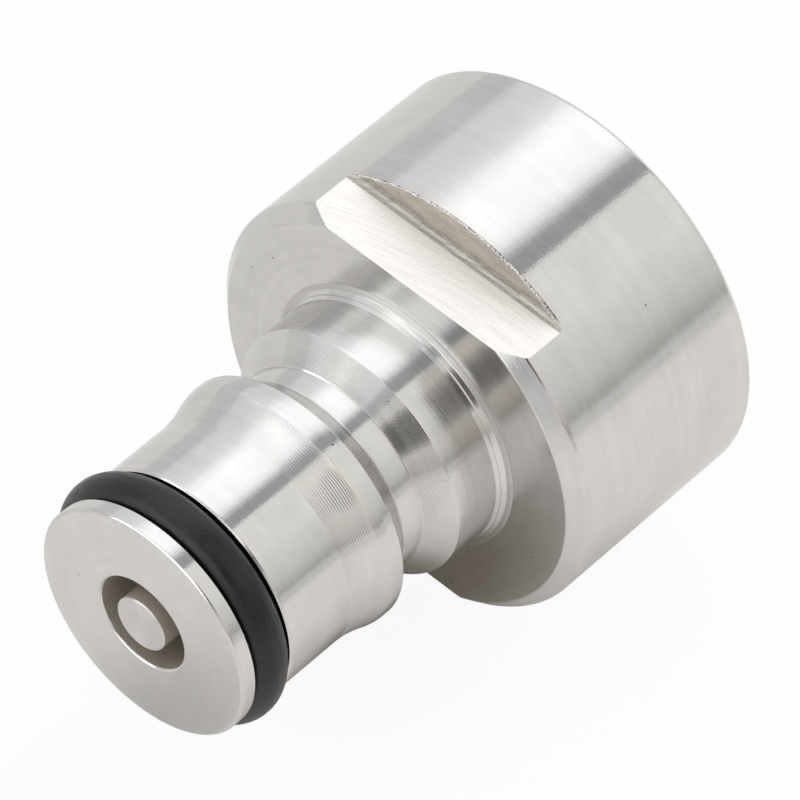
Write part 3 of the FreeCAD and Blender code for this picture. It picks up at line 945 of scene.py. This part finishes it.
def stage_glow(name, bm, tint):
    """Glowing stage surface that the camera doesn't see, with its level still to be linked."""
    mesh = bpy.data.meshes.new(name)
    bm.to_mesh(mesh)
    bm.free()
    panel = bpy.data.objects.new(name, mesh)
    bpy.context.scene.collection.objects.link(panel)
    material = bpy.data.materials.new(name)
    material.use_nodes = True
    tree = material.node_tree
    tree.nodes.clear()
    glow = tree.nodes.new("ShaderNodeEmission")
    glow.inputs["Color"].default_value = (*tint, 1)
    output = tree.nodes.new("ShaderNodeOutputMaterial")
    tree.links.new(glow.outputs[0], output.inputs["Surface"])
    mesh.materials.append(material)
    panel.visible_camera = False
    return tree, glow


def graded(tree, value, stops, brightest):
    """Level that passes through stops (value, level), for a light that isn't even."""
    first, last = stops[0][0], stops[-1][0]
    reach = tree.nodes.new("ShaderNodeMapRange")
    tree.links.new(value, reach.inputs["Value"])
    reach.inputs["From Min"].default_value = first
    reach.inputs["From Max"].default_value = last
    ramp = tree.nodes.new("ShaderNodeValToRGB")
    tree.links.new(reach.outputs[0], ramp.inputs[0])
    elements = ramp.color_ramp.elements
    for element, (place, level) in zip((elements[0], elements[1]), (stops[0], stops[-1])):
        element.position = (place - first) / (last - first)
        element.color = (*[level / brightest] * 3, 1)
    for place, level in stops[1:-1]:
        element = elements.new((place - first) / (last - first))
        element.color = (*[level / brightest] * 3, 1)
    return math_node(tree, "MULTIPLY", ramp.outputs[0], brightest)


def tent_sheet(name, stops, tint, x_start=-1.6, x_end=0.62, radius=0.8):
    """Sheet of the light tent, bent round the flow axis. Stops are (degrees from +Y, level)."""
    bm = bmesh.new()
    near = bm.verts.new((x_start, radius, 0))
    far = bm.verts.new((x_end, radius, 0))
    edge = bm.edges.new((near, far))
    start, end = stops[0][0], stops[-1][0]
    lean = Matrix.Rotation(math.radians(start), 3, "X")
    bmesh.ops.rotate(bm, cent=(0, 0, 0), matrix=lean, verts=bm.verts)
    sweep = math.radians(end - start)
    bmesh.ops.spin(bm, geom=[near, far, edge], cent=(0, 0, 0), axis=(1, 0, 0), angle=sweep, steps=32)
    tree, glow = stage_glow(name, bm, tint)
    place = tree.nodes.new("ShaderNodeTexCoord").outputs["Object"]
    parts = tree.nodes.new("ShaderNodeSeparateXYZ")
    tree.links.new(place, parts.inputs[0])
    angle = math_node(tree, "ARCTAN2", parts.outputs[2], parts.outputs[1])
    degrees = math_node(tree, "DEGREES", angle)
    level = graded(tree, degrees, stops, max(level for place, level in stops))
    tree.links.new(level, glow.inputs["Strength"])


def direction_to(azimuth, elevation):
    """Unit vector from azimuth, measured from +X towards +Y, and elevation, both in degrees."""
    turn = math.radians(azimuth)
    rise = math.radians(elevation)
    return Vector((math.cos(rise) * math.cos(turn), math.cos(rise) * math.sin(turn), math.sin(rise)))


def facing(direction, roll):
    """Rotation that turns +Z to a direction, rolled about it by degrees."""
    return direction.to_track_quat("Z", "Y").to_matrix() @ Matrix.Rotation(math.radians(roll), 3, "Z")


def camera_shade(azimuth, elevation, distance, radius, stops):
    """Dark disc below the camera, mirrored in the neck. Stops are (share of radius, level)."""
    bm = bmesh.new()
    bmesh.ops.create_circle(bm, cap_ends=True, segments=48, radius=radius)
    middle = direction_to(azimuth, elevation) * distance
    bmesh.ops.rotate(bm, cent=(0, 0, 0), matrix=facing(middle, 0), verts=bm.verts)
    bmesh.ops.translate(bm, vec=middle, verts=bm.verts)
    tree, glow = stage_glow("camera shade", bm, (1.0, 0.99, 0.98))
    away = tree.nodes.new("ShaderNodeVectorMath")
    away.operation = "DISTANCE"
    away.inputs[1].default_value = middle
    tree.links.new(tree.nodes.new("ShaderNodeTexCoord").outputs["Object"], away.inputs[0])
    share = math_node(tree, "DIVIDE", away.outputs["Value"], radius)
    tree.links.new(graded(tree, share, stops, 1.0), glow.inputs["Strength"])


def soft_box(name, azimuth, elevation, distance, width, height, roll, radiance):
    """Rectangular lamp that faces the fitting from a direction measured from +X."""
    lamp = bpy.data.lights.new(name, "AREA")
    lamp.shape = "RECTANGLE"
    lamp.size = width
    lamp.size_y = height
    lamp.energy = radiance * math.pi * width * height
    holder = bpy.data.objects.new(name, lamp)
    bpy.context.scene.collection.objects.link(holder)
    direction = direction_to(azimuth, elevation)
    holder.location = direction * distance
    holder.rotation_euler = facing(direction, roll).to_euler()
    holder.visible_camera = False
    holder.visible_diffuse = False


def surround():
    """White surround: plain white to the camera, and slightly grey in the metal."""
    world = bpy.data.worlds.new("surround")
    world.use_nodes = True
    tree = world.node_tree
    tree.nodes.clear()
    sky = tree.nodes.new("ShaderNodeBackground")
    output = tree.nodes.new("ShaderNodeOutputWorld")
    tree.links.new(light_path_level(tree, 1.0, 0.91, 0.91), sky.inputs["Strength"])
    tree.links.new(sky.outputs[0], output.inputs["Surface"])
    bpy.context.scene.world = world


def photo_camera():
    """Camera at the photograph's angle, from a fit of the fitting's circles."""
    lens = bpy.data.cameras.new("camera")
    lens.sensor_width = 36.0
    lens.lens = 314.75
    lens.clip_start = 0.01
    camera = bpy.data.objects.new("camera", lens)
    bpy.context.scene.collection.objects.link(camera)
    back = Vector((0.51167, 0.37447, 0.77328)).normalized()
    right = Vector((-0.66341, 0.74411, 0.07862))
    up = back.cross(right).normalized()
    right = up.cross(back)
    turned_to = Matrix((right, up, back)).transposed().to_4x4()
    camera.matrix_world = Matrix.Translation((0.2137133, 0.1456822, 0.3019045)) @ turned_to
    bpy.context.scene.camera = camera


studio_floor()
tent_sheet(
    "warm sweep", ((6.0, 0.46), (9, 0.52), (14, 0.66), (20, 0.77), (32, 0.87), (48, 1.0), (76.5, 1.01)),
    (1.0, 0.985, 0.955),
)
tent_sheet(
    "brown sweep", ((5.0, 0.46), (9, 0.54), (14, 0.68), (20, 0.79), (32, 0.89), (48, 1.02), (72.0, 1.02)),
    (1.0, 0.92, 0.82), x_start=0.1, radius=0.785,
)
tent_sheet(
    "dark seam", ((77.0, 0.44), (86.0, 0.47), (89.5, 0.85), (93.0, 1.2)), (0.96, 0.98, 1.0), x_end=0.76,
)
tent_sheet(
    "top light", ((93.0, 1.22), (100, 1.45), (120, 1.5), (128, 1.34), (134, 1.06), (144, 0.95), (160, 0.91)),
    (1.0, 1.0, 1.0),
)
tent_sheet(
    "front of top light", ((94.0, 1.4), (98, 1.6), (122, 1.7), (130, 1.35), (136, 1.1)), (1.0, 0.99, 0.975),
    x_start=0.4, x_end=0.53, radius=0.79,
)
camera_shade(
    azimuth=38.5, elevation=32.5, distance=0.33, radius=0.1,
    stops=((0.0, 0.1), (0.6, 0.13), (0.78, 0.36), (1.0, 0.88)),
)
soft_box(
    "front light", azimuth=-15, elevation=20, distance=0.8, width=1.13, height=0.43, roll=10, radiance=1.33,
)
surround()
photo_camera()
bpy.context.scene.view_settings.view_transform = "Standard"
